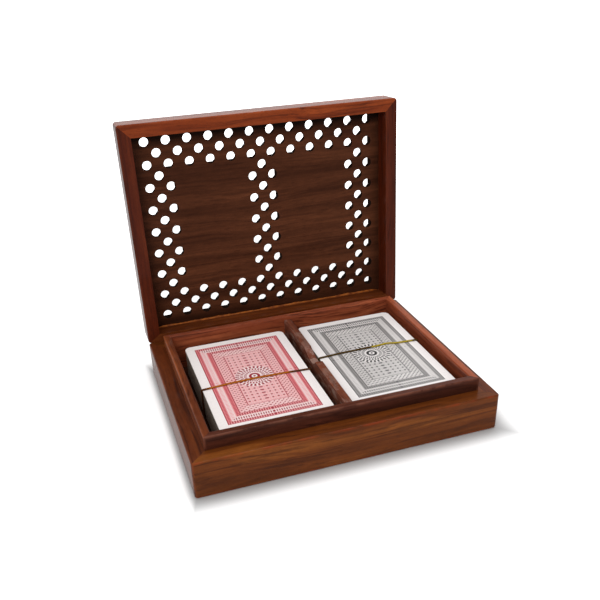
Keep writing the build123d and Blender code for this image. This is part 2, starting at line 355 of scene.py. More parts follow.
class RosewoodFigure(GroupMaker):
    """Rosewood's figure, with the grain along the place's X axis.

    Swaying bands a few millimetres wide run from dark to light, with dark veins, mottling, fine
    hairs and short open pores over them.
    """

    name = "rosewood_figure"
    takes = {
        "Place": SocketKind.VECTOR,
        **dict.fromkeys(("Dark", "Middle", "Light", "Vein"), SocketKind.COLOUR),
        **dict.fromkeys(("Vein Share", "Gloss"), SocketKind.VALUE),
    }
    gives = {
        "Color": SocketKind.COLOUR,
        **dict.fromkeys(("Roughness", "Height"), SocketKind.VALUE),
    }
    drift = Cloud((11, 38, 38))
    sway = 13.0 * MILLIMETRE
    bands = Cloud((7, 175, 175), 3.0, 0.55)
    veins = Cloud((13, 640, 640), 3.0, 0.6)
    hairs = Cloud((55, 1500, 1500), 3.0, 0.6)
    pores = Cloud((190, 3300, 3300), 1.0)
    mottling = Cloud((170, 520, 520), 4.0, 0.7)

    def draw(self) -> None:
        """Draws bands, veins, mottling, hairs and pores."""
        bench, given = self.bench, self.given
        place = given["Place"]
        swing = (bench.noise(place, self.drift) - 0.5) * self.sway
        step = bench.out("CombineXYZ", {"Y": swing, "Z": swing})
        swayed = bench.out("VectorMath", {0: place, 1: step}, operation="ADD")
        band = bench.noise(swayed, self.bands)
        hair = bench.noise(swayed, self.hairs)
        pore = bench.noise(place, self.pores).smooth(0.64, 0.76)
        low = bench.blend(band.smooth(0.32, 0.52), given["Dark"], given["Middle"])
        body = bench.blend(band.smooth(0.50, 0.70), low, given["Light"])
        depth = bench.noise(swayed, self.veins).smooth(0.50, 0.34) * given["Vein Share"]
        veined = bench.blend(depth, body, given["Vein"])
        shade = bench.noise(place, self.mottling) * 0.7 + (hair * 0.5 + 0.4)
        grey = bench.out("CombineXYZ", dict.fromkeys("XYZ", shade))
        haired = bench.blend(1.0, veined, grey, "MULTIPLY")
        self.give("Color", bench.blend(pore * 0.55, haired, given["Vein"]))
        self.give("Roughness", hair * 0.08 + (pore * 0.16 + given["Gloss"]))
        self.give("Height", pore * -0.8 + hair * 0.35)


class EdgeWearAndHighlight(GroupMaker):
    """Where a block's edges are worn and carry a painted highlight: 1 along them and 0 away from
    them, broken up by noise.
    """

    name = "edge_wear_and_highlight"
    takes = {
        **dict.fromkeys(("Place", "Low", "High"), SocketKind.VECTOR),
        "Width": SocketKind.VALUE,
    }
    gives = {"Mask": SocketKind.VALUE}
    patches = Cloud((120, 120, 120), 4.0, 0.6)

    def draw(self) -> None:
        """Draws the mask: the second smallest distance to the block's faces is under Width."""
        bench, given = self.bench, self.given
        spots = [bench.parts(given[label]) for label in ("Place", "Low", "High")]
        near = [(here - low).least(high - here) for here, low, high in zip(*spots)]
        second = near[0].least(near[1]).most(near[0].most(near[1]).least(near[2]))
        closeness = 1.0 - second / given["Width"]
        patchy = bench.noise(given["Place"], self.patches).smooth(0.36, 0.62)
        self.give("Mask", closeness.smooth(0.0, 0.9) * patchy)


class CardPrint(GroupMaker):
    """A traditional card back: ticked frames, a latticed border, a dotted field and a rosette.

    Place is centred on the card, in metres, with the card's length along Y. Ink goes from 0 on
    bare card to 1 where the ink lies full. The sizes here are millimetres. The tables are pairs of
    the distance inwards from the print's edge, or outwards from the middle, and the ink from there.
    """

    name = "card_print"
    takes = {"Place": SocketKind.VECTOR}
    gives = {"Ink": SocketKind.VALUE}
    to_the_metre = 1000.0
    half_width = 24.1
    half_length = 39.6
    deepest = 18.0
    lines = (
        (-2.0, 0.0), (-0.03, 0.0), (0.0, 1.0), (0.4, 1.0), (0.52, 0.46), (0.9, 0.36), (1.3, 0.56),
        (1.8, 0.50), (2.3, 0.32), (2.8, 0.14), (4.6, 0.09), (5.2, 0.20), (5.8, 0.40), (6.4, 0.56),
        (7.0, 0.50), (7.56, 0.34), (7.68, 0.95), (8.0, 0.95), (8.12, 0.26), (13.3, 0.26),
        (13.4, 0.85), (13.72, 0.85), (13.84, 0.25), (18.0, 0.25),
    )
    ticked = ((-2.0, 0.0), (0.52, 0.85), (2.3, 0.0), (3.0, 0.9), (4.7, 0.0), (5.7, 0.85),
              (7.56, 0.0))
    border = ((-2.0, 0.0), (8.16, 1.0), (13.3, 0.0))
    field = ((-2.0, 0.0), (13.88, 1.0), (17.98, 1.0))
    tick_pitch = 1.25
    rope_pitch = 2.45
    rope_shift = 400.0
    cell_pitch = 2.84
    widest = 12.0
    eye = ((0.0, 1.0), (0.696, 0.0), (1.56, 1.0), (3.0, 0.1))
    rays = ((0.0, 0.0), (4.104, 1.0), (5.7, 0.0), (8.1, 1.0), (10.2, 0.0))
    rays_between = ((0.0, 0.0), (6.096, 1.0), (7.752, 0.0))
    ray_count = 28
    rosette_radius = 10.4

    def draw(self) -> None:
        """Draws the print from the card's edge inwards."""
        across, along, _ = self.bench.parts(self.given["Place"])
        u, v = abs(across) * self.to_the_metre, abs(along) * self.to_the_metre
        from_side, from_end = self.half_width - u, self.half_length - v
        depth = from_side.least(from_end)
        lines = self.bench.ramp(depth, self.lines, self.deepest, "LINEAR")
        ticked, border, field = (
            self.bench.ramp(depth, stops, self.deepest)
            for stops in (self.ticked, self.border, self.field)
        )
        beside = from_side < from_end
        run = v * beside + u * (1.0 - beside)
        ticks = run.stripe(self.tick_pitch, 0.5) * ticked * (beside * -0.72 + 1.0)
        ruled = lines * (beside * 0.25 + 0.75)
        ropes = (u + v).stripe(self.rope_pitch, 0.36)
        knots = ropes * (u - v + self.rope_shift).stripe(self.rope_pitch, 0.46)
        framed = (knots * 0.85 + ropes * 0.06) * border + ruled + ticks
        cells = u.stripe(self.cell_pitch, 0.36) * v.stripe(self.cell_pitch, 0.34)
        lace = u.stripe(self.cell_pitch / 2, 0.5) * v.stripe(self.cell_pitch, 0.7)
        radius = self.bench.math("SQRT", u * u + v * v)
        within = radius < self.rosette_radius
        ground = (cells * 0.62 + lace * 0.08 + lines) * (1.0 - within)
        middle = self.rosette(u, v, radius) * within + ground
        self.give("Ink", middle * field + framed * (1.0 - field))

    def rosette(self, u: Signal, v: Signal, radius: Signal) -> Signal:
        """Draws the eye and the two sets of rays round it.

        Args:
            u: Distance from the card's long middle line.
            v: Distance from its short one.
            radius: Distance from the middle.

        Returns:
            The rosette's ink.
        """
        turn = self.bench.math("ARCTAN2", v, u) / (2 * math.pi / self.ray_count)
        eye, rays, between = (
            self.bench.ramp(radius, stops, self.widest)
            for stops in (self.eye, self.rays, self.rays_between)
        )
        on, off = (
            abs(self.bench.math("FRACT", turn + start) - 0.5) < 0.25 for start in (0.5, 1.0)
        )
        return off * between + (on * rays + eye)


@dataclass(frozen=True)
class Effects:
    """The node groups that the materials share, each built once."""

    figure: bpy.types.NodeTree
    wear_and_highlight: bpy.types.NodeTree
    print: bpy.types.NodeTree

    @classmethod
    def build(cls) -> "Effects":
        """Builds the groups."""
        return cls(RosewoodFigure().tree, EdgeWearAndHighlight().tree, CardPrint().tree)


def points_of(mesh: bpy.types.Mesh) -> np.ndarray:
    """Reads a mesh's points.

    Args:
        mesh: The mesh.

    Returns:
        The points, one row each.
    """
    points = np.empty(len(mesh.vertices) * 3)
    mesh.vertices.foreach_get("co", points)
    return points.reshape(-1, 3)


class Grain(Enum):
    """Which way a board's grain runs, as a turn that brings it onto X."""

    ALONG_FRONT = (0.0, 0.0, 0.0)
    FRONT_TO_BACK = (0.0, 0.0, -math.pi / 2)
    UP_THE_LID = (0.0, math.pi / 2, 0.0)


@dataclass(frozen=True)
class Board:
    """One board: its solid, its finish, its grain, and where in the tree it was cut.

    No two boards are cut at the same place, so that no two look alike.
    """

    node: str
    finish: "WoodFinish"
    grain: Grain
    cut_at: Triple


@dataclass(frozen=True)
class Block:
    """A block of boards: the turn about X that squares it up, and its corners once it is."""

    tilt: float
    low: Triple
    high: Triple

    @classmethod
    def measured(cls, boards: Iterable[Board], tilt: float) -> "Block":
        """Measures the block round some boards.

        Args:
            boards: The boards.
            tilt: The turn about X.

        Returns:
            The block.
        """
        points = np.concatenate([points_of(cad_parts[board.node].data) for board in boards])
        turned = points @ np.array(Matrix.Rotation(tilt, 3, "X")).T
        low, high = (tuple(map(float, end)) for end in (turned.min(axis=0), turned.max(axis=0)))
        return cls(tilt, low, high)


class BoardBench(MaterialBench):
    """The bench of one board's material, with its spot squared up with the block."""

    def __init__(self, board: Board, block: Block) -> None:
        """Opens the board's material.

        Args:
            board: The board.
            block: The block that it belongs to.
        """
        super().__init__(f"{board.node}_wood")
        self.block = block
        self.square = self.turned(self.spot, (block.tilt, 0.0, 0.0))


@dataclass(frozen=True)
class Surface:
    """What a board's shader is fed with."""

    colour: Signal
    rough: Signal
    coat: Feed


@dataclass(frozen=True)
class WoodFinish:
    """Lacquered rosewood of one colouring, with its edges worn and lighter as a painted highlight.
    """

    dark: Tone
    middle: Tone
    light: Tone
    vein: Tone
    edge: Tone
    vein_share: float = 0.7
    gloss: float = 0.36
    lacquer: float = 0.45
    lacquer_rough: float = 0.08
    wear_and_highlight: float = 0.55
    wear_and_highlight_width: float = 1.4 * MILLIMETRE
    ior: float = 1.16
    relief: float = 0.35
    relief_depth: float = 0.12 * MILLIMETRE

    def marked(self, bench: BoardBench, plain: Surface) -> Surface:
        """Returns the surface with the marks of this kind of board; a plain board has none."""
        return plain

    def make(self, effects: Effects, board: Board, block: Block) -> bpy.types.Material:
        """Makes the material of one board.

        Args:
            effects: The shared node groups.
            board: The board.
            block: The block that it belongs to, whose edges are worn and get a painted highlight.

        Returns:
            The material.
        """
        bench = BoardBench(board, block)
        place = bench.turned(bench.square, board.grain.value, board.cut_at)
        feeds = {"Place": place, "Dark": self.dark, "Middle": self.middle, "Light": self.light,
                 "Vein": self.vein, "Vein Share": self.vein_share, "Gloss": self.gloss}
        figure = bench.group(effects.figure, feeds)
        edges = {"Place": bench.square, "Low": block.low, "High": block.high,
                 "Width": self.wear_and_highlight_width}
        # Worn edges, also lighter as a painted highlight along them.
        worn_and_lit = bench.group(effects.wear_and_highlight, edges)["Mask"] * self.wear_and_highlight
        colour = bench.blend(worn_and_lit, figure["Color"], self.edge)
        surface = self.marked(bench, Surface(colour, figure["Roughness"], self.lacquer))
        looks = {"Base Color": surface.colour, "Roughness": surface.rough, "IOR": self.ior,
                 "Coat Weight": surface.coat, "Coat IOR": self.ior,
                 "Coat Roughness": self.lacquer_rough}
        return bench.close(looks, figure["Height"], self.relief, self.relief_depth)


@dataclass(frozen=True)
class ScuffedWood(WoodFinish):
    """Rosewood that fingers and cards have scuffed pale and dull in patches."""

    scuff: Tone = tone(150, 120, 108)
    patches: Cloud = Cloud((150, 110, 380), 5.0, 0.72)
    fade_start: float = 1.5 * MILLIMETRE
    fade_stop: float = 4.0 * MILLIMETRE

    def marked(self, bench: BoardBench, plain: Surface) -> Surface:
        """Adds the scuffs, weaker near the board's top.

        Args:
            bench: The board's bench.
            plain: The surface so far.

        Returns:
            The scuffed surface.
        """
        below = bench.block.high[2] - bench.parts(bench.square)[2]
        within = below.smooth(self.fade_start, self.fade_stop) * 0.5 + 0.35
        patches = bench.noise(bench.square, self.patches).smooth(0.48, 0.60)
        colour = bench.blend(patches * within, plain.colour, self.scuff)
        return Surface(colour, patches * 0.2 + plain.rough, plain.coat)


@dataclass(frozen=True)
class PiercedWood(WoodFinish):
    """The panel's rosewood: bare and in painted shade inside the piercings, with a painted shadow
    along the rails.

    Attributes:
        bare: Colour of the cut walls: bare of lacquer, and dark as painted shade.
        rail_shadow: Colour of the painted shadow of the rails.
        rail_shadow_start: How far from a rail the painted shadow fades in from nothing.
        rail_shadow_full: How far from a rail it is full.
        ragged: The noise of its edge.
        ragged_reach: How far its edge strays.
        rail_width: Width of the front rail.
        other_rail: How wide the painted shadow takes the other rails to be.
        front_share: How strong the painted shadow is along the front rail.
        other_share: How strong it is along the others.
    """

    # The cut walls' tone is painted shade, far darker than the wood.
    bare: Tone = tone(30, 16, 10)
    # Painted shadow of the rails on the panel.
    rail_shadow: Tone = tone(9, 5, 4)
    rail_shadow_start: float = 12.0 * MILLIMETRE
    rail_shadow_full: float = 4.0 * MILLIMETRE
    ragged: Cloud = Cloud((90, 90, 260), 3.0, 0.6)
    ragged_reach: float = 4.0 * MILLIMETRE
    rail_width: float = 7.0 * MILLIMETRE
    other_rail: float = 3.0 * MILLIMETRE
    front_share: float = 0.88
    other_share: float = 0.45

    def marked(self, bench: BoardBench, plain: Surface) -> Surface:
        """Adds the painted shadow along the rails and the painted shade on the bare walls, which
        face along the panel.

        Args:
            bench: The board's bench.
            plain: The surface so far.

        Returns:
            The surface with its painted shadow and shade.
        """
        low, high = bench.block.low, bench.block.high
        across, _, up = bench.parts(bench.square)
        from_side = high[0] - self.other_rail - abs(across)
        from_back = up - (low[2] + self.other_rail)
        from_front = high[2] - self.rail_width - up
        strayed = bench.noise(bench.square, self.ragged) * self.ragged_reach
        # Painted shadow along the rails, strongest by the front rail; it lies on both faces of the
        # panel.
        by_front, by_others = (
            (distance + strayed).smooth(self.rail_shadow_start, self.rail_shadow_full) * share
            for distance, share in ((from_front, self.front_share),
                                    (from_back.least(from_side), self.other_share))
        )
        dark = by_front.most(by_others)
        normal = bench.out("TexCoord", pick="Normal")
        facing = bench.parts(bench.turned(normal, (bench.block.tilt, 0.0, 0.0)))[1]
        cut = abs(facing).smooth(0.75, 0.35)
        shadowed = bench.blend(dark, plain.colour, self.rail_shadow)
        coat = (1.0 - cut.most(dark)) * self.lacquer
        # The cut walls take the bare tone: painted shade inside the piercings.
        return Surface(bench.blend(cut, shadowed, self.bare), cut * 0.5 + plain.rough, coat)


@dataclass(frozen=True)
class BrassFinish:
    """Brass, brushed along the box and dulled in patches."""

    bright: Tone = tone(214, 176, 104)
    dull: Tone = tone(138, 98, 52)
    roughness: float = 0.30
    brushing: Cloud = Cloud((90, 5200, 5200))
    patches: Cloud = Cloud((170, 170, 170), 4.0, 0.65)
    relief_depth: float = 0.03 * MILLIMETRE

    def make(self, name: str) -> bpy.types.Material:
        """Makes the material.

        Args:
            name: The material's name.

        Returns:
            The material.
        """
        bench = MaterialBench(name)
        brushed = bench.noise(bench.spot, self.brushing)
        patches = bench.noise(bench.spot, self.patches).smooth(0.46, 0.70)
        colour = bench.blend(patches, self.bright, self.dull)
        rough = brushed * 0.16 + (patches * 0.18 + self.roughness)
        looks = {"Base Color": colour, "Roughness": rough, "Metallic": 1.0}
        return bench.close(looks, brushed, 0.25, self.relief_depth)


@dataclass(frozen=True)
class CardFinish:
    """A printed card back: ink on coated card."""

    ink: Tone
    pale_ink: Tone
    card: Tone
    mottling: Cloud = Cloud((900, 900, 900), 3.0, 0.6)
    relief_depth: float = 0.03 * MILLIMETRE

    def make(
        self, effects: Effects, name: str, middle: tuple[float, float]
    ) -> bpy.types.Material:
        """Makes the material.

        Args:
            effects: The shared node groups.
            name: The material's name.
            middle: X and Y of the card's middle.

        Returns:
            The material.
        """
        bench = MaterialBench(name)
        centred = bench.turned(bench.spot, shift=(-middle[0], -middle[1], 0.0))
        ink = bench.group(effects.print, {"Place": centred})["Ink"]
        mottle = bench.noise(bench.spot, self.mottling)
        shaded = (*(0.95 * part for part in self.card[:3]), 1.0)
        paper = bench.blend(mottle.smooth(0.35, 0.7), self.card, shaded)
        strength = ink * (mottle * 0.2 + 0.9)
        tinted = bench.blend((strength * 2.2).least(1.0), paper, self.pale_ink)
        looks = {"Base Color": bench.blend(strength.smooth(0.36, 1.0), tinted, self.ink),
                 "Roughness": mottle * 0.12 + 0.34, "Coat Weight": 0.2, "Coat Roughness": 0.2}
        return bench.close(looks, ink * 0.2 + mottle, 0.12, self.relief_depth)


@dataclass(frozen=True)
class EdgeFinish:
    """The cut edges of a stack of cards, darkened as painted shade: each card has its own tone."""

    # Both tones are far darker than white card: painted shade of the box that the decks lie in.
    card: Tone = tone(166, 154, 140)
    shadow: Tone = tone(84, 72, 62)
    fibres: Cloud = Cloud((700, 700, 9000), 3.0, 0.6)
    relief_depth: float = 0.04 * MILLIMETRE

    def make(self, name: str, pitch: float, lowest: float) -> bpy.types.Material:
        """Makes the material, with a darker line between two cards.

        Args:
            name: The material's name.
            pitch: One card's thickness.
            lowest: Height of the stack's underside.

        Returns:
            The material.
        """
        bench = MaterialBench(name)
        height = (bench.parts(bench.spot)[2] - lowest) / pitch
        card = {"W": bench.math("FLOOR", height)}
        own = bench.out("TexWhiteNoise", card, "Value", noise_dimensions="1D")
        fibre = bench.noise(bench.spot, self.fibres)
        line = abs(bench.math("FRACT", height) - 0.5).smooth(0.34, 0.5)
        # Fibres, the line between cards and each card's tone pull towards the darker tone of
        # painted shade.
        dust_and_shade = fibre.smooth(0.5, 0.75) * 0.25 + (line * 0.45 + own * 0.35)
        looks = {"Base Color": bench.blend(dust_and_shade, self.card, self.shadow),
                 "Roughness": fibre * 0.2 + 0.6}
        return bench.close(looks, fibre, 0.2, self.relief_depth)


@dataclass(frozen=True)
class CordFinish:
    """A twisted cord of shiny yarn, bright over one stretch of the deck and dark elsewhere, with
    painted shade between strands.

    Attributes:
        bright: Colour of the bright stretch.
        deep: Colour of the dark stretches, and of the painted shade in the valleys between strands.
        bright_from: Where the bright stretch starts, from the deck's middle.
        bright_to: Where it ends.
        strands: Strands in the cord.
        threads: Threads to the strand, as the relief shows them.
        unevenness: The noise of the stretch's ends.
        stray: How far its ends stray.
        fade: From where to where each end fades.
    """

    bright: Tone
    deep: Tone
    bright_from: float
    bright_to: float
    strands: int = 3
    threads: int = 7
    unevenness: Cloud = Cloud((160, 40, 40), 3.0)
    stray: float = 14.0 * MILLIMETRE
    fade: tuple[float, float] = (5.0 * MILLIMETRE, 9.0 * MILLIMETRE)
    ior: float = 1.2
    relief_depth: float = 0.04 * MILLIMETRE

    def make(self, name: str, middle: float) -> bpy.types.Material:
        """Makes the material. The UV map runs in twists along the cord and in turns round it.

        Args:
            name: The material's name.
            middle: X of the deck's middle.

        Returns:
            The material.
        """
        bench = MaterialBench(name)
        along, round_it, _ = bench.parts(bench.out("UVMap", uv_map="route"))
        lay = along * -self.strands + round_it * self.strands
        wave, thread = (
            bench.math("SINE", lay * (2 * math.pi * count)) for count in (1, self.threads)
        )
        uneven = bench.noise(bench.spot, self.unevenness) * self.stray + bench.parts(bench.spot)[0]
        begun, ended = (
            uneven.smooth(middle + end + self.fade[0], middle + end + self.fade[1])
            for end in (self.bright_from, self.bright_to)
        )
        # The wave term paints shade into the valleys between strands; the rest darkens outside the
        # bright stretch.
        share = wave.smooth(0.1, -0.9) * 0.55 + (1.0 - (begun - ended)) * 0.9
        looks = {"Base Color": bench.blend(share, self.bright, self.deep),
                 "Roughness": thread * 0.08 + 0.42, "IOR": self.ior}
        return bench.close(looks, thread, 0.4, self.relief_depth)


@dataclass(frozen=True)
class LacquerFinish:
    """Amber lacquer that has run together in a corner."""

    amber: Tone = tone(160, 88, 34)
    brown: Tone = tone(112, 54, 20)
    clouds: Cloud = Cloud((240, 240, 240), 3.0, 0.6)
    ior: float = 1.2
    relief_depth: float = 0.1 * MILLIMETRE

    def make(self, name: str) -> bpy.types.Material:
        """Makes the material.

        Args:
            name: The material's name.

        Returns:
            The material.
        """
        bench = MaterialBench(name)
        cloud = bench.noise(bench.spot, self.clouds).smooth(0.38, 0.66)
        looks = {"Base Color": bench.blend(cloud, self.amber, self.brown),
                 "Roughness": cloud * 0.15 + 0.18, "IOR": self.ior}
        return bench.close(looks, cloud, 0.2, self.relief_depth)


def dress(node: str, material: bpy.types.Material) -> None:
    """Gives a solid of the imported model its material.

    Args:
        node: The solid's name.
        material: The material.
    """
    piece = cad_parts[node]
    if not piece.material_slots:
        piece.data.materials.append(None)
    for place in piece.material_slots:
        place.material = material
    LOG.info("%s: %s", node, material.name)


def add_piece(
    mesh: bpy.types.Mesh, material: bpy.types.Material, body: str
) -> bpy.types.Object:
    """Puts a finished mesh into the scene under its own name and lets it ride on a body.

    Args:
        mesh: The mesh, already in place.
        material: Its material.
        body: The body that it rides on.

    Returns:
        The piece.
    """
    mesh.materials.append(material)
    mesh.update()
    piece = linked(mesh.name, mesh)
    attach(piece, body)
    LOG.info("%s: %d faces, rides on %s", piece.name, len(mesh.polygons), body)
    return piece


class BoardWork:
    """Base for the parts made of boards."""

    tilt: float = 0.0

    def boards(self) -> list[Board]:
        """Returns the part's boards."""
        raise NotImplementedError

    def build(self, effects: Effects) -> None:
        """Dresses every board of the block.

        Args:
            effects: The shared node groups.
        """
        block = Block.measured(self.boards(), self.tilt)
        for board in self.boards():
            dress(board.node, board.finish.make(effects, board, block))


# The tones are those of the dark, middle and light bands, the veins and the worn edges with their
# painted highlight.
GOLDEN = WoodFinish(
    tone(82, 39, 12), tone(102, 51, 17), tone(124, 68, 25), tone(52, 21, 8), tone(138, 50, 18),
    vein_share=0.55,
)
REDDISH = WoodFinish(
    tone(74, 32, 13), tone(93, 43, 18), tone(114, 57, 25), tone(44, 16, 9), tone(128, 62, 32),
    vein_share=0.65,
)
LID_RED = WoodFinish(
    tone(106, 41, 15), tone(126, 53, 21), tone(148, 67, 29), tone(66, 23, 10), tone(150, 70, 34),
    vein_share=0.65,
)
LID_GOLDEN = WoodFinish(
    tone(80, 36, 14), tone(100, 48, 20), tone(118, 60, 27), tone(54, 22, 10), tone(132, 66, 34),
    vein_share=0.45,
)
DEEP_RED = WoodFinish(
    tone(62, 21, 9), tone(78, 28, 11), tone(94, 38, 16), tone(40, 12, 6), tone(108, 46, 22),
    vein_share=0.5,
)
WARM_LINING = WoodFinish(
    tone(118, 55, 33), tone(145, 71, 44), tone(172, 91, 58), tone(68, 29, 18), tone(150, 78, 46),
    vein_share=0.75,
)
SHADED_LINING = WoodFinish(
    tone(94, 44, 22), tone(116, 57, 29), tone(138, 73, 39), tone(56, 22, 12), tone(142, 76, 42),
)
PLUM = WoodFinish(
    tone(56, 26, 17), tone(73, 35, 23), tone(94, 49, 35), tone(34, 13, 9), tone(124, 74, 56),
    vein_share=0.6, wear_and_highlight=0.6,
)
SCUFFED = ScuffedWood(
    tone(86, 42, 29), tone(112, 60, 42), tone(132, 76, 56), tone(48, 22, 15), tone(134, 80, 62),
    vein_share=0.5,
)
PANEL_BROWN = PiercedWood(
    tone(62, 32, 19), tone(76, 41, 25), tone(90, 50, 31), tone(42, 19, 11), tone(100, 54, 30),
    vein_share=0.35, gloss=0.42, lacquer=0.2, ior=1.1,
)
BROWN_FLOOR = WoodFinish(
    tone(38, 20, 13), tone(52, 27, 17), tone(68, 38, 24), tone(26, 12, 9), tone(90, 50, 30),
    vein_share=0.5, gloss=0.5, lacquer=0.1,
)


class BoxBase(BoardWork):
    """The four mitred walls and the floor."""

    def boards(self) -> list[Board]:
        """Returns the walls and the floor."""
        return [
            Board("base_front_wall", GOLDEN, Grain.ALONG_FRONT, (0.31, 0.07, 0.02)),
            Board("base_back_wall", GOLDEN, Grain.ALONG_FRONT, (1.42, 0.21, 0.11)),
            Board("base_left_wall", REDDISH, Grain.FRONT_TO_BACK, (2.13, 0.36, 0.05)),
            Board("base_right_wall", REDDISH, Grain.FRONT_TO_BACK, (3.57, 0.13, 0.08)),
            Board("base_floor", BROWN_FLOOR, Grain.ALONG_FRONT, (4.05, 0.44, 0.19)),
        ]


class Lining(BoardWork):
    """The four boards that stand above the rim, and the divider."""

    def boards(self) -> list[Board]:
        """Returns the lining's boards and the divider."""
        return [
            Board("liner_front", PLUM, Grain.ALONG_FRONT, (5.22, 0.05, 0.33)),
            Board("liner_back", WARM_LINING, Grain.ALONG_FRONT, (6.38, 0.27, 0.21)),
            Board("liner_left", SHADED_LINING, Grain.FRONT_TO_BACK, (7.14, 0.18, 0.29)),
            Board("liner_right", WARM_LINING, Grain.FRONT_TO_BACK, (8.46, 0.32, 0.17)),
            Board("divider", SCUFFED, Grain.FRONT_TO_BACK, (9.03, 0.41, 0.25)),
        ]


@dataclass
class Lid(BoardWork):
    """The mitred rails, the pierced panel and the lacquer in the corner over the back rail.

    Sizes are those of the closed lid: the hinge's axis, the corner of panel and back rail, and the
    opening's width. The bead thins to its least share over its taper, and is sunk into the wood.
    """

    open_angle: float = math.radians(93.5)
    axis_y: float = 61.05 * MILLIMETRE
    axis_z: float = 20.05 * MILLIMETRE
    corner_y: float = 56.7 * MILLIMETRE
    corner_z: float = 30.7 * MILLIMETRE
    opening_width: float = 144.0 * MILLIMETRE
    bead_radius: float = 0.9 * MILLIMETRE
    bead_rings: int = 181
    bead_steps: int = 7
    bead_taper: float = 4.0 * MILLIMETRE
    bead_least: float = 0.12
    bead_sunk: float = 0.1 * MILLIMETRE
    end_gap: float = 0.4 * MILLIMETRE
    tilt: float = math.radians(3.5)

    def boards(self) -> list[Board]:
        """Returns the rails and the panel."""
        return [
            Board("lid_front_rail", LID_RED, Grain.ALONG_FRONT, (10.27, 0.09, 0.24)),
            Board("lid_back_rail", LID_GOLDEN, Grain.ALONG_FRONT, (11.33, 0.35, 0.14)),
            Board("lid_left_rail", DEEP_RED, Grain.UP_THE_LID, (12.18, 0.23, 0.37)),
            Board("lid_right_rail", DEEP_RED, Grain.UP_THE_LID, (13.52, 0.12, 0.31)),
            Board("lid_panel", PANEL_BROWN, Grain.ALONG_FRONT, (14.09, 0.28, 0.06)),
        ]

    def opened(self, points: np.ndarray) -> np.ndarray:
        """Turns points of the closed lid about the hinge to where the open lid has them.

        Args:
            points: Points in the last axis.

        Returns:
            The turned points.
        """
        forward = points[..., 1] - self.axis_y
        upward = points[..., 2] - self.axis_z
        cos, sin = math.cos(self.open_angle), math.sin(self.open_angle)
        moved_y = self.axis_y + forward * cos + upward * sin
        moved_z = self.axis_z - forward * sin + upward * cos
        return np.stack((points[..., 0], moved_y, moved_z), axis=-1)

    def bead_mesh(self) -> bpy.types.Mesh:
        """Makes the bead of lacquer.

        Its section is a quarter circle about the corner, from the panel to the rail, closed by a
        point sunk into the corner. The radius changes along X as a sum of sines.

        Returns:
            The mesh.
        """
        along = np.linspace(-0.5, 0.5, self.bead_rings) * (self.opening_width - self.end_gap)
        # Waves to the metre, their share of the radius and their start.
        waves = ((23.0, 0.17, 0.4), (61.0, 0.13, 1.9), (140.0, 0.10, 0.8), (331.0, 0.06, 2.6))
        swell = 1.0 + sum(
            size * np.sin(2 * math.pi * rate * along + start) for rate, size, start in waves
        )
        from_end = 0.5 * self.opening_width - np.abs(along)
        taper = np.clip(from_end / self.bead_taper, self.bead_least, 1.0)
        radius = self.bead_radius * swell * taper
        sweep = np.linspace(0.0, math.pi / 2, self.bead_steps)
        curves = [np.repeat(along[:, None], self.bead_steps + 1, axis=1)]
        for corner, turn in ((self.corner_y, np.cos(sweep)), (self.corner_z, np.sin(sweep))):
            inner = np.full(len(along), corner + self.bead_sunk)
            curve = corner - np.outer(radius, turn) + self.bead_sunk
            curves.append(np.column_stack((curve, inner)))
        return tube_mesh("lacquer_bead", self.opened(np.stack(curves, axis=-1)), capped=True)

    def build(self, effects: Effects) -> None:
        """Dresses the boards and lays the bead.

        Args:
            effects: The shared node groups.
        """
        super().build(effects)
        lacquer = LacquerFinish().make("amber_lacquer")
        add_piece(self.bead_mesh(), lacquer, "lid")


def ring_faces(starts: np.ndarray, joined: np.ndarray, sides: int) -> np.ndarray:
    """Makes the faces between rings of points, each ring closed on itself.

    Args:
        starts: Number of the first point of each ring.
        joined: Number of the first point of the ring that it joins.
        sides: Points in a ring.

    Returns:
        The faces, rows of four point numbers.
    """
    spot = np.arange(sides)
    beside = (spot + 1) % sides
    near, far = starts[:, None], joined[:, None]
    faces = np.stack((near + spot, near + beside, far + beside, far + spot), axis=-1)
    return faces.reshape(-1, 4)


def tube_mesh(name: str, rings: np.ndarray, capped: bool) -> bpy.types.Mesh:
    """Makes the skin over rings of points: a function of the place along the tube and round it.

    Args:
        name: The mesh's name.
        rings: Points in an array of rings by points by three.
        capped: Whether the ends have a face. If not, the last ring joins the first.

    Returns:
        The mesh, with its faces outwards.
    """
    count, sides = rings.shape[:2]
    ring = np.arange(count - 1 if capped else count)
    faces = ring_faces(ring * sides, (ring + 1) % count * sides, sides).tolist()
    if capped:
        faces.append(list(range(sides))[::-1])
        faces.append(list(range((count - 1) * sides, count * sides)))
    mesh = bpy.data.meshes.new(name)
    mesh.from_pydata(rings.reshape(-1, 3).tolist(), [], faces)
    turn_outwards(mesh)
    mesh.polygons.foreach_set("use_smooth", np.ones(len(faces), dtype=bool))
    return mesh


def turn_outwards(mesh: bpy.types.Mesh) -> None:
    """Flips a closed mesh if its volume, the sum of p0 . (p1 x p2) over its faces, is negative.

    Args:
        mesh: The mesh.
    """
    mesh.calc_loop_triangles()
    corners = np.empty(len(mesh.loop_triangles) * 3, dtype=np.int32)
    mesh.loop_triangles.foreach_get("vertices", corners)
    first, second, third = points_of(mesh)[corners.reshape(-1, 3)].transpose(1, 0, 2)
    if np.einsum("ij,ij->", first, np.cross(second, third)) < 0:
        mesh.flip_normals()


class Hinges:
    """The two brass hinges with their pins and screws."""

    def build(self) -> None:
        """Dresses leaves, pins and screws."""
        leaves = BrassFinish().make("hinge_brass")
        pins = BrassFinish(roughness=0.24).make("pin_brass")
        screws = BrassFinish(bright=tone(222, 186, 116), roughness=0.22).make("screw_brass")
        parts = {"base_leaf": leaves, "lid_leaf": leaves, "pin": pins,
                 "base_screws": screws, "lid_screws": screws}
        for side in ("left", "right"):
            for part, material in parts.items():
                dress(f"{side}_hinge_{part}", material)


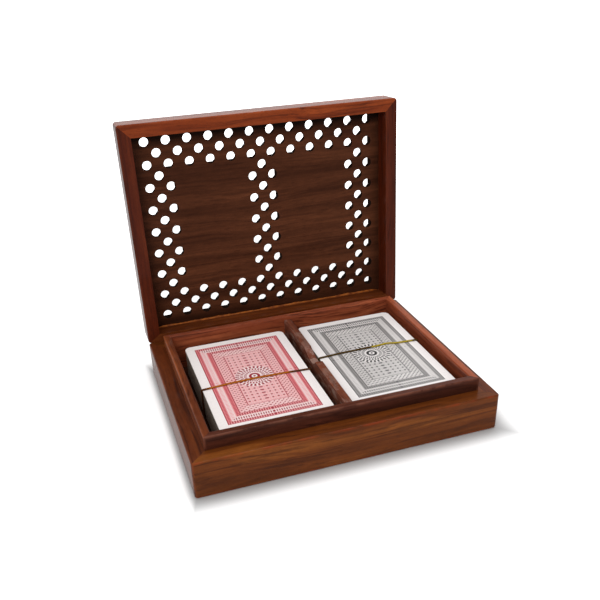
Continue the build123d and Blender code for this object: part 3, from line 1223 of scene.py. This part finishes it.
@dataclass
class Deck:
    """A deck held by a cord: the printed top card, the cards below it and the twisted cord.

    Attributes:
        colour: The first word of the deck's node names.
        back: The finish of its top card.
        cord: The finish of its cord.
        wander: How far the cord's top run lies off its line, as pairs of X from the deck's middle
            and Y off the line.
        seed: Start of the cards' small misplacements.
        card_fill: Share of its pitch that a card's thickness fills.
        card_play: Space beside the deck, and how far a card strays sideways.
        end_play: Space at the deck's ends.
        square_corner: Radius of the corners where the cord parts the lowest cards.
        cord_spread: How much wider than high the cord is, pressed flat.
        cord_gap: Space between the cord and the cards that it parts.
        cord_bend: Radius of the cord's middle line at the deck's edges.
        strand_depth: Depth of the valleys between strands, as a share of the radius.
        ring_step: Distance between the cord's rings.
        ring_points: Points in a ring.
        softening: Rings over which the wander is rounded off.
        wander_start: How far over the cord's underside it starts to wander.
        wander_full: How far under its top it does so fully.
    """

    colour: str
    back: CardFinish
    cord: CordFinish
    wander: tuple[tuple[float, float], ...]
    seed: int
    cards_below: int = 53
    card_corner: float = 3.2 * MILLIMETRE
    corner_steps: int = 7
    card_fill: float = 0.94
    card_play: float = 0.05 * MILLIMETRE
    end_play: float = 0.2 * MILLIMETRE
    square_corner: float = 0.05 * MILLIMETRE
    cord_radius: float = 0.45 * MILLIMETRE
    cord_spread: float = 1.6
    cord_gap: float = 0.1 * MILLIMETRE
    cord_bend: float = 0.6 * MILLIMETRE
    twist_pitch: float = 3.4 * MILLIMETRE
    strand_depth: float = 0.09
    ring_step: float = 0.3 * MILLIMETRE
    ring_points: int = 14
    softening: int = 15
    wander_start: float = 3.0 * MILLIMETRE
    wander_full: float = 1.0 * MILLIMETRE

    def corners(self, part: str) -> list[np.ndarray]:
        """Returns the lowest and the highest corner of the deck's node of that name."""
        return [np.array(corner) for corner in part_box(f"{self.colour}_{part}")]

    def outlines(self, low: np.ndarray, high: np.ndarray, radii: np.ndarray) -> np.ndarray:
        """Draws rounded oblongs: round each corner, centre plus radius times (cos, sin).

        Args:
            low: Lowest corners, one row each.
            high: Highest corners, one row each.
            radii: Radii at the near and the far end, one row each.

        Returns:
            Points in an array of oblongs by points by two.
        """
        sweep = np.linspace(0.0, math.pi / 2, self.corner_steps)
        parts = []
        for quarter in range(4):
            right, far = quarter in (0, 3), quarter in (0, 1)
            radius = radii[:, int(far)][:, None]
            centre_x = high[:, :1] - radius if right else low[:, :1] + radius
            centre_y = high[:, 1:] - radius if far else low[:, 1:] + radius
            angle = sweep + quarter * math.pi / 2
            x, y = centre_x + radius * np.cos(angle), centre_y + radius * np.sin(angle)
            parts.append(np.stack((x, y), axis=-1))
        return np.concatenate(parts, axis=1)

    def stack_mesh(self) -> bpy.types.Mesh:
        """Makes the cards below the top one.

        Each card is a rounded oblong swept up by its thickness. The cards lie a little apart, each
        moved a few hundredths. The lowest part where the cord runs under them, so they are in two.

        Returns:
            The mesh.
        """
        (low, high), (band_low, band_high) = self.corners("deck"), self.corners("band")
        pitch = (high[2] - low[2]) / self.cards_below
        cut = math.ceil((band_low[2] + 2 * self.cord_radius - low[2]) / pitch)
        line = 0.5 * (band_low[1] + band_high[1])
        level = np.concatenate((np.arange(cut, self.cards_below), np.arange(cut), np.arange(cut)))
        front = slice(self.cards_below - cut, self.cards_below)
        back = slice(self.cards_below, None)
        rng = np.random.default_rng(self.seed)
        strays = rng.uniform(-1.0, 1.0, (self.cards_below, 2))
        strays *= (self.card_play, 3.0 * self.card_play)
        play = np.array((self.card_play, self.end_play))
        near = low[:2] + play + strays[level]
        far = high[:2] - play + strays[level]
        gap = self.cord_spread * self.cord_radius + self.cord_gap
        far[front, 1] = line - gap
        near[back, 1] = line + gap
        radii = np.full((len(level), 2), self.card_corner)
        radii[front, 1] = self.square_corner
        radii[back, 0] = self.square_corner
        flat = self.outlines(near, far, radii)
        count, sides = flat.shape[:2]
        under = low[2] + level * pitch
        rings = np.empty((count, 2, sides, 3))
        rings[..., :2] = flat[:, None]
        rings[..., 2] = np.stack((under, under + self.card_fill * pitch), axis=1)[:, :, None]
        start = np.arange(count) * 2 * sides
        walls = ring_faces(start, start + sides, sides)
        bottoms = start[:, None] + np.arange(sides)
        faces = walls.tolist() + (bottoms + sides).tolist() + bottoms[:, ::-1].tolist()
        mesh = bpy.data.meshes.new(f"{self.colour}_cards")
        mesh.from_pydata(rings.reshape(-1, 3).tolist(), [], faces)
        return mesh

    def route(self, half: np.ndarray, place: np.ndarray) -> tuple[np.ndarray, np.ndarray]:
        """Draws the cord's middle line by its length: a rounded oblong about the origin.

        Args:
            half: Half its width and half its height.
            place: Lengths along it, from the start of the top run.

        Returns:
            The points and the outward directions there, in X and Z.
        """
        runs = 2 * (half - self.cord_bend)
        arc = self.cord_bend * math.pi / 2
        legs = np.tile(runs, 2)
        ends = np.concatenate(([0.0], legs.cumsum()))
        marks = np.column_stack((legs, np.full(4, arc))).ravel().cumsum()
        marks = np.concatenate(([0.0], marks))
        turn = np.interp(place, marks, np.repeat(np.arange(5), 2)[:-1] * math.pi / 2)
        travel = np.interp(place, marks, np.repeat(ends, 2)[1:])
        corner_x = np.interp(travel, ends, np.array((-1, 1, 1, -1, -1)) * runs[0] / 2)
        corner_z = np.interp(travel, ends, np.array((1, 1, -1, -1, 1)) * runs[1] / 2)
        outward = np.stack((np.sin(turn), np.cos(turn)), axis=-1)
        return np.stack((corner_x, corner_z), axis=-1) + self.cord_bend * outward, outward

    def strayed(self, line: float, across: np.ndarray, lift: np.ndarray) -> np.ndarray:
        """Lets the cord wander sideways, from nothing at the deck's foot to fully at its top.

        Args:
            line: Y of the cord's straight line.
            across: X of its points from the deck's middle.
            lift: Their height, from 0 at the foot to 1 at the top.

        Returns:
            Y of its points.
        """
        offsets = np.array(self.wander)
        spread = np.interp(across, offsets[:, 0], offsets[:, 1])
        window = np.hanning(self.softening + 2)[1:-1]
        padded = np.pad(spread, self.softening, mode="wrap")
        soft = np.convolve(padded, window / window.sum(), mode="same")
        return line + soft[self.softening:-self.softening] * lift

    def cord_mesh(self) -> bpy.types.Mesh:
        """Makes the twisted cord.

        The section's radius is R (1 - w + w cos(n (a - t s))), n strands turning with t along the
        length s, and it is drawn out sideways where it presses on the deck.

        Returns:
            The mesh with a UV map in twists along and turns round.
        """
        low, high = self.corners("band")
        half = (high - low)[[0, 2]] / 2 - self.cord_radius
        middle = (low + high)[[0, 2]] / 2
        length = float(4 * (half - self.cord_bend).sum() + 2 * math.pi * self.cord_bend)
        twists = round(length / self.twist_pitch)
        count = int(length / self.ring_step)
        place = np.arange(count) * length / count
        shape, outward = self.route(half, place)
        points = middle + shape
        foot, top = low[2] + self.wander_start, high[2] - self.wander_full
        lift = np.clip((points[:, 1] - foot) / (top - foot), 0.0, 1.0)
        side = self.strayed(0.5 * (low[1] + high[1]), shape[:, 0], lift)
        angle = np.linspace(0.0, 2 * math.pi, self.ring_points, endpoint=False)
        lay = self.cord.strands * (angle - 2 * math.pi * twists * (place / length)[:, None])
        radius = self.cord_radius * (1.0 - self.strand_depth + self.strand_depth * np.cos(lay))
        out = radius * np.cos(angle)
        skin_x, skin_z = (points[:, i:i + 1] + out * outward[:, i:i + 1] for i in (0, 1))
        skin_y = side[:, None] + self.cord_spread * radius * np.sin(angle)
        skin = np.stack((skin_x, skin_y, skin_z), axis=-1)
        mesh = tube_mesh(f"{self.colour}_cord", skin, capped=False)
        self.map_route(mesh, count, twists)
        return mesh

    def map_route(self, mesh: bpy.types.Mesh, count: int, twists: int) -> None:
        """Gives the cord its UV map.

        Args:
            mesh: The cord's mesh, its points in rings.
            count: Rings along the cord.
            twists: Whole twists in its length.
        """
        order = np.empty(len(mesh.loops), dtype=np.int32)
        mesh.loops.foreach_get("vertex_index", order)
        chart = []
        for steps, total in ((order // self.ring_points, count),
                             (order % self.ring_points, self.ring_points)):
            steps = steps.reshape(-1, 4)
            closing = (steps.max(axis=1, keepdims=True) == total - 1) & (steps == 0)
            chart.append(np.where(closing, total, steps) / total)
        chart[0] = chart[0] * twists / self.cord.strands
        mesh.uv_layers.new(name="route").data.foreach_set("uv", np.stack(chart, -1).ravel())

    def build(self, effects: Effects) -> None:
        """Dresses the top card and makes the stack and the cord.

        Args:
            effects: The shared node groups.
        """
        low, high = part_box(f"{self.colour}_top_card")
        middle = ((low.x + high.x) / 2, (low.y + high.y) / 2)
        back = self.back.make(effects, f"{self.colour}_card_back", middle)
        dress(f"{self.colour}_top_card", back)
        deck_low, deck_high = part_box(f"{self.colour}_deck")
        pitch = (deck_high.z - deck_low.z) / self.cards_below
        edges = EdgeFinish().make(f"{self.colour}_card_edges", pitch, deck_low.z)
        body = f"{self.colour}_deck_body"
        stack = add_piece(self.stack_mesh(), edges, body)
        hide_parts(f"{self.colour}_deck")
        yarn = self.cord.make(f"{self.colour}_cord_yarn", middle[0])
        cord = add_piece(self.cord_mesh(), yarn, body)
        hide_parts(f"{self.colour}_band")


@dataclass
class Studio:
    """The floor, the lamps, the white surroundings and the camera.

    Attributes:
        eye: Where the camera stands.
        azimuth: Its direction round the box, in radians, as are the next two.
        elevation: How far it looks down.
        roll: How far it leans.
        frame_shift: The camera's upward shift.
        half_width: Half the box's width.
        half_depth: Half its depth.
        floor_lift: How much brighter than it is lit the camera sees the floor round the box.
        far_lift: How much more it does far from the box, from clear_from to clear_at.
        contact_shade: How much darker it sees the floor close to the box: a painted contact shadow.
        contact_reach: How far from the box that ends, and a third of it at the left.
        left_edge: Where it starts at the left.
        ambient: Strength of the white surroundings as light.
        aim: Where the lamps look.
    """

    eye: Triple = (-0.111316, -0.327617, 0.222099)
    azimuth: float = -0.30994
    elevation: float = 0.51875
    roll: float = -0.036271
    focal_length: float = 44.214
    sensor_width: float = 36.0
    clip_start: float = 0.01
    frame_shift: float = 0.1
    half_width: float = 79.0 * MILLIMETRE
    half_depth: float = 61.5 * MILLIMETRE
    floor_reach: float = 6.0
    floor_height: float = -0.2 * MILLIMETRE
    floor_tones: tuple[Tone, Tone] = ((0.95, 0.95, 0.95, 1.0), (0.97, 0.97, 0.97, 1.0))
    floor_clouds: Cloud = Cloud((30, 30, 30), 3.0)
    floor_lift: float = 0.34
    far_lift: float = 0.8
    clear_from: float = 0.15
    clear_at: float = 0.6
    contact_shade: float = 0.46
    contact_reach: float = 15.0 * MILLIMETRE
    left_edge: float = -235.0 / 3.0 * MILLIMETRE
    ambient: float = 0.62
    aim: Triple = (0.0, 0.0, 0.03)

    def floor(self) -> None:
        """Lays the floor, which the camera sees a little brighter than it is lit, save for a
        painted shadow by the box.
        """
        mesh = bpy.data.meshes.new("floor")
        turns = ((-1, -1), (1, -1), (1, 1), (-1, 1))
        corners = [(x * self.floor_reach, y * self.floor_reach, self.floor_height)
                   for x, y in turns]
        mesh.from_pydata(corners, [], [(0, 1, 2, 3)])
        bench = MaterialBench("white_table")
        shade = bench.blend(bench.noise(bench.spot, self.floor_clouds), *self.floor_tones)
        distance = bench.out("VectorMath", {0: bench.spot}, "Value", operation="LENGTH")
        across, along, _ = bench.parts(bench.spot)
        beyond = ((self.left_edge - across) * 3.0).most(across - self.half_width)
        beyond = beyond.most(abs(along) - self.half_depth)
        away = beyond.smooth(0.0, self.contact_reach)
        lift = distance.smooth(self.clear_from, self.clear_at) * self.far_lift
        camera = bench.out("LightPath", pick="Is Camera Ray")
        # Painted contact shadow: camera rays see the floor darker close to the box, where the lift
        # is gone too.
        painted_shadow = camera * self.contact_shade * (1.0 - away)
        dimmed = bench.blend(painted_shadow, shade, (0.0, 0.0, 0.0, 1.0))
        matt = bench.out("BsdfDiffuse", {"Color": dimmed})
        glow = bench.out("Emission", {"Strength": camera * (lift + away * self.floor_lift)})
        both = bench.out("AddShader", {0: matt, 1: glow})
        bench.add("OutputMaterial", {"Surface": both})
        mesh.materials.append(bench.material)
        linked("floor", mesh)

    def surroundings(self) -> None:
        """Makes the surroundings white where they are seen or mirrored, and softer as light."""
        world = bpy.data.worlds.new("white_room")
        bpy.context.scene.world = world
        bench = Bench(cleared(world))
        seen, glossy, through = (
            bench.out("LightPath", pick=f"Is {ray} Ray")
            for ray in ("Camera", "Glossy", "Transmission")
        )
        shown = seen.most(glossy.most(through))
        strength = shown * (1.0 - self.ambient) + self.ambient
        sky = bench.out("Background", {"Color": (1.0, 1.0, 1.0, 1.0), "Strength": strength})
        bench.add("OutputWorld", {"Surface": sky})

    def lamp(self, name: str, place: Triple, size: float, power: float) -> None:
        """Hangs a soft square lamp that looks at the box.

        Args:
            name: The lamp's name.
            place: Where it hangs.
            size: Its side.
            power: Its power in watts.
        """
        data = bpy.data.lights.new(name, "AREA")
        data.size = size
        data.energy = power
        piece = linked(name, data)
        piece.location = place
        towards = Vector(self.aim) - Vector(place)
        piece.rotation_euler = towards.to_track_quat("-Z", "Y").to_euler()

    def camera(self) -> None:
        """Sets the camera up where the picture was taken from."""
        cos_e, sin_e = math.cos(self.elevation), math.sin(self.elevation)
        back = Vector((math.sin(self.azimuth) * cos_e, -math.cos(self.azimuth) * cos_e, sin_e))
        level = (-back).cross(Vector((0.0, 0.0, 1.0))).normalized()
        upright = level.cross(-back)
        right = level * math.cos(self.roll) + upright * math.sin(self.roll)
        above = upright * math.cos(self.roll) - level * math.sin(self.roll)
        data = bpy.data.cameras.new("camera")
        data.sensor_width = self.sensor_width
        data.sensor_fit = "HORIZONTAL"
        data.lens = self.focal_length
        data.shift_y = self.frame_shift
        data.clip_start = self.clip_start
        piece = linked("camera", data)
        turn = Matrix((right, above, back)).transposed().to_4x4()
        piece.matrix_world = Matrix.Translation(Vector(self.eye)) @ turn
        bpy.context.scene.camera = piece

    def build(self) -> None:
        """Builds the studio."""
        self.floor()
        self.surroundings()
        self.lamp("front_lamp", (-0.75, -1.05, 1.0), 0.9, 8.5)
        self.lamp("high_lamp", (0.20, 0.20, 1.3), 0.7, 5.0)
        self.camera()
        bpy.context.scene.view_settings.view_transform = "Standard"


def decks() -> list[Deck]:
    """Describes the two decks.

    Returns:
        The red deck and the black one.
    """
    red_back = CardFinish(tone(154, 16, 44), tone(233, 130, 134), tone(253, 246, 243))
    black_back = CardFinish(tone(36, 34, 36), tone(172, 168, 166), tone(252, 247, 245))
    orange = CordFinish(tone(184, 104, 26), tone(66, 32, 8), -0.026, 0.020)
    olive = CordFinish(tone(188, 164, 50), tone(58, 34, 8), 0.002, 0.027)
    bow = ((-0.0295, 0.0006), (-0.015, 0.0017), (0.0, 0.0022), (0.015, 0.0016), (0.0295, 0.0005))
    kink = ((-0.0290, -0.0007), (-0.0174, 0.0001), (0.0059, 0.0005), (0.0122, 0.0012),
            (0.0172, -0.0005), (0.0222, -0.0008), (0.0290, -0.0013))
    return [Deck("red", red_back, orange, bow, 11), Deck("black", black_back, olive, kink, 12)]


def main() -> None:
    """Builds the studio, dresses the solids and makes the pieces that they only stand for."""
    logging.basicConfig(level=logging.INFO, format="%(message)s")
    effects = Effects.build()
    Studio().build()
    BoxBase().build(effects)
    Lining().build(effects)
    Lid().build(effects)
    Hinges().build()
    for deck in decks():
        deck.build(effects)


if __name__ == "__main__":
    main()
